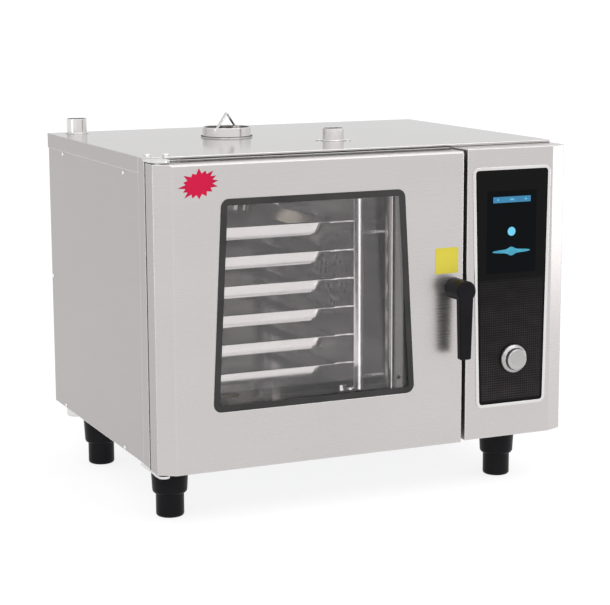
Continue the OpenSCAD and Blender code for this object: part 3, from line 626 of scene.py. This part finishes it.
def display_graphics():
    """The display's lit marks: a bar with three pale marks, a dot and a lens, sizes in millimetres."""
    bar = lit("screen_bar_blue", (0.010, 0.17, 0.34, 1.0), (0.016, 0.20, 0.40, 1.0))
    dot = lit("screen_dot_blue", (0.11, 0.53, 0.78, 1.0), (0.15, 0.62, 0.88, 1.0))
    lens = lit("screen_lens_teal", (0.016, 0.25, 0.40, 1.0), (0.045, 0.36, 0.50, 1.0))
    mark = lit("screen_mark_pale", (0.08, 0.40, 0.62, 1.0), (0.12, 0.50, 0.72, 1.0))
    bar_lift = 73.5
    lens_lift = -44
    plate_piece("screen_bar", bar_outline(97, 13.5, 0.8, bar_lift), bar)
    for i, (u, width) in enumerate(((-36, 5.5), (0, 11), (36, 5.5))):
        outline = [(u + a, b) for a, b in bar_outline(width, 4, 1.6, bar_lift)]
        plate_piece(f"screen_mark_{i + 1}", outline, mark, 0.18 * MM)
    plate_piece("screen_dot", arc((0, 1), 10, 0, 352.5, 47), dot)
    plate_piece("screen_lens", lens_outline(98, 8.5, 11.5, lens_lift), lens)


def collar_seal():
    """A thin black ring round the exhaust collar's foot, out to the collar's widest edge."""
    low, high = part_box("exhaust_collar")
    centre = (low + high) / 2
    outer = (high.x - low.x) / 2
    inner = outer - 3.6 * MM
    shoulder = outer - 0.4 * MM
    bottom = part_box("top_cover")[1].z + 1.7 * MM
    belly = bottom + 0.7 * MM
    top = bottom + 1.5 * MM
    profile = ((inner, bottom), (shoulder, bottom), (outer, belly), (shoulder, top), (inner, top))
    steps = 96
    points = []
    for i in range(steps):
        turn = 2 * math.pi * i / steps
        for radius, z in profile:
            points.append((centre.x + radius * math.cos(turn), centre.y + radius * math.sin(turn), z))
    count = len(profile)
    faces = []
    for i in range(steps):
        here, there = i * count, (i + 1) % steps * count
        for j in range(count):
            k = (j + 1) % count
            faces.append((here + j, there + j, there + k, here + k))
    ring = mesh_object("collar_seal", points, faces, bpy.data.materials["silicone_seal"])
    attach(ring, "cabinet")


# Studio ----------------------------------------------------------------------------


def floor_finish():
    """Pale seamless paper, a little self-lit so that it stays white under soft light."""
    f = Finish("studio_floor", {"Roughness": 0.9, "Specular IOR Level": 0.1, "Emission Strength": 0.80})
    tooth = f.noise((35.0, 35.0, 35.0), 2.0)
    f.set(
        {
            "Base Color": f.blend(tooth, grey(0.20), grey(0.24)),
            "Emission Color": (1.0, 1.0, 1.0, 1.0),
        }
    )
    return f.material


def studio_floor():
    reach = 400.0
    corners = [(-reach, -reach, 0), (reach, -reach, 0), (reach, reach, 0), (-reach, reach, 0)]
    mesh_object("studio_floor", corners, [(0, 1, 2, 3)], floor_finish())


def soft_box(name, place, target, size, watts):
    """A rectangular lamp that faces a point; it shows and lights on that side alone."""
    lamp = bpy.data.lights.new(name, "AREA")
    lamp.shape = "RECTANGLE"
    lamp.size, lamp.size_y = size
    lamp.energy = watts
    box = bpy.data.objects.new(name, lamp)
    bpy.context.scene.collection.objects.link(box)
    box.location = place
    box.rotation_euler = (Vector(target) - Vector(place)).to_track_quat("-Z", "Y").to_euler()


def sky():
    """White surroundings, brighter in front than behind."""
    world = bpy.data.worlds.new("studio")
    world.use_nodes = True
    nodes, links = world.node_tree.nodes, world.node_tree.links
    ground = nodes["Background"]
    ground.inputs["Color"].default_value = (1, 1, 1, 1)
    coordinates = nodes.new("ShaderNodeTexCoord")
    split = nodes.new("ShaderNodeSeparateXYZ")
    links.new(coordinates.outputs["Generated"], split.inputs[0])
    fall = nodes.new("ShaderNodeMapRange")
    front, behind = 1.22, 0.85
    settings = {"From Min": -0.9, "From Max": 0.9, "To Min": front, "To Max": behind}
    for socket, value in settings.items():
        fall.inputs[socket].default_value = value
    links.new(split.outputs["Y"], fall.inputs["Value"])
    links.new(fall.outputs["Result"], ground.inputs["Strength"])
    bpy.context.scene.world = world


def mouth_strip(name, left, width, facing, level):
    """An upright lamp of a given brightness behind the door, whose light goes into the chamber."""
    low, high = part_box("cavity_liner")
    height = 0.5
    before_mouth = 6 * MM
    place = Vector((low.x + left, low.y - before_mouth, (low.z + high.z) / 2))
    watts = level * math.pi * width * height
    soft_box(name, place, place + Vector(facing), (width, height), watts)


def chamber_lights():
    """Lamps under each tray's front that face up to it, and upright strips for racks and baffle."""
    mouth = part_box("cavity_liner")[0].y
    depth = 40 * MM
    for level in range(1, 7):
        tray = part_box(f"tray_{level}")[0]
        y, z = mouth + 6 * MM, tray.z - 26 * MM
        for name, middle, width, watts in (("wide", 0.19, 0.34, 0.050), ("left", 0.06, 0.20, 0.045)):
            x = tray.x + middle
            target = (x, tray.y + 20 * MM, tray.z)
            soft_box(f"tray_{name}_{level}", (x, y, z), target, (width, depth), watts)
    mouth_strip("rack_strip_left", 0.471, 0.004, (0, 1, 0), 2.2)
    mouth_strip("rack_strip_right", 0.490, 0.004, (0, 1, 0), 2.2)
    mouth_strip("baffle_strip", 0.560, 0.020, (-0.1, 1, 0), 0.45)
    mouth_strip("baffle_line", 0.536, 0.003, (0, 1, 0), 2.5)


def lights():
    """A key lamp from the upper left, a low lamp at each side, and one for the floor in front."""
    soft_box("key_light", (-2.6, -3.6, 3.4), (0, 0, 0.45), (2.4, 1.8), 30)
    soft_box("right_light", (3.4, -1.2, 0.36), (0.45, -0.3, 0.36), (2.2, 0.7), 7)
    soft_box("left_light", (-3.2, -0.6, 0.38), (-0.5, -0.35, 0.38), (0.5, 0.72), 2.5)
    soft_box("floor_light", (1.0, -1.9, 2.8), (1.0, -1.9, 0.0), (2.6, 2.6), 30)


# Camera ----------------------------------------------------------------------------


def photo_camera():
    """The photograph's viewing angle: from the left, a little above the cabinet."""
    eye = (-1.7258, -3.8816, 1.1499)
    yaw, pitch, roll = (math.radians(a) for a in (24.06, -10.06, -0.24))
    forward = Vector(
        (math.sin(yaw) * math.cos(pitch), math.cos(yaw) * math.cos(pitch), math.sin(pitch))
    )
    level = Vector((math.cos(yaw), -math.sin(yaw), 0))
    upright = level.cross(forward)
    right = math.cos(roll) * level + math.sin(roll) * upright
    up = -math.sin(roll) * level + math.cos(roll) * upright
    data = bpy.data.cameras.new("photo_view")
    data.lens = 106.86
    data.sensor_width = 36
    data.clip_start = 0.1
    data.clip_end = 900
    camera = bpy.data.objects.new("photo_view", data)
    bpy.context.scene.collection.objects.link(camera)
    turn = Matrix((right, up, -forward)).transposed().to_4x4()
    camera.matrix_world = Matrix.Translation(eye) @ turn
    bpy.context.scene.camera = camera


dress_nodes()
display_graphics()
collar_seal()
studio_floor()
sky()
lights()
chamber_lights()
photo_camera()
bpy.context.scene.view_settings.view_transform = "Standard"
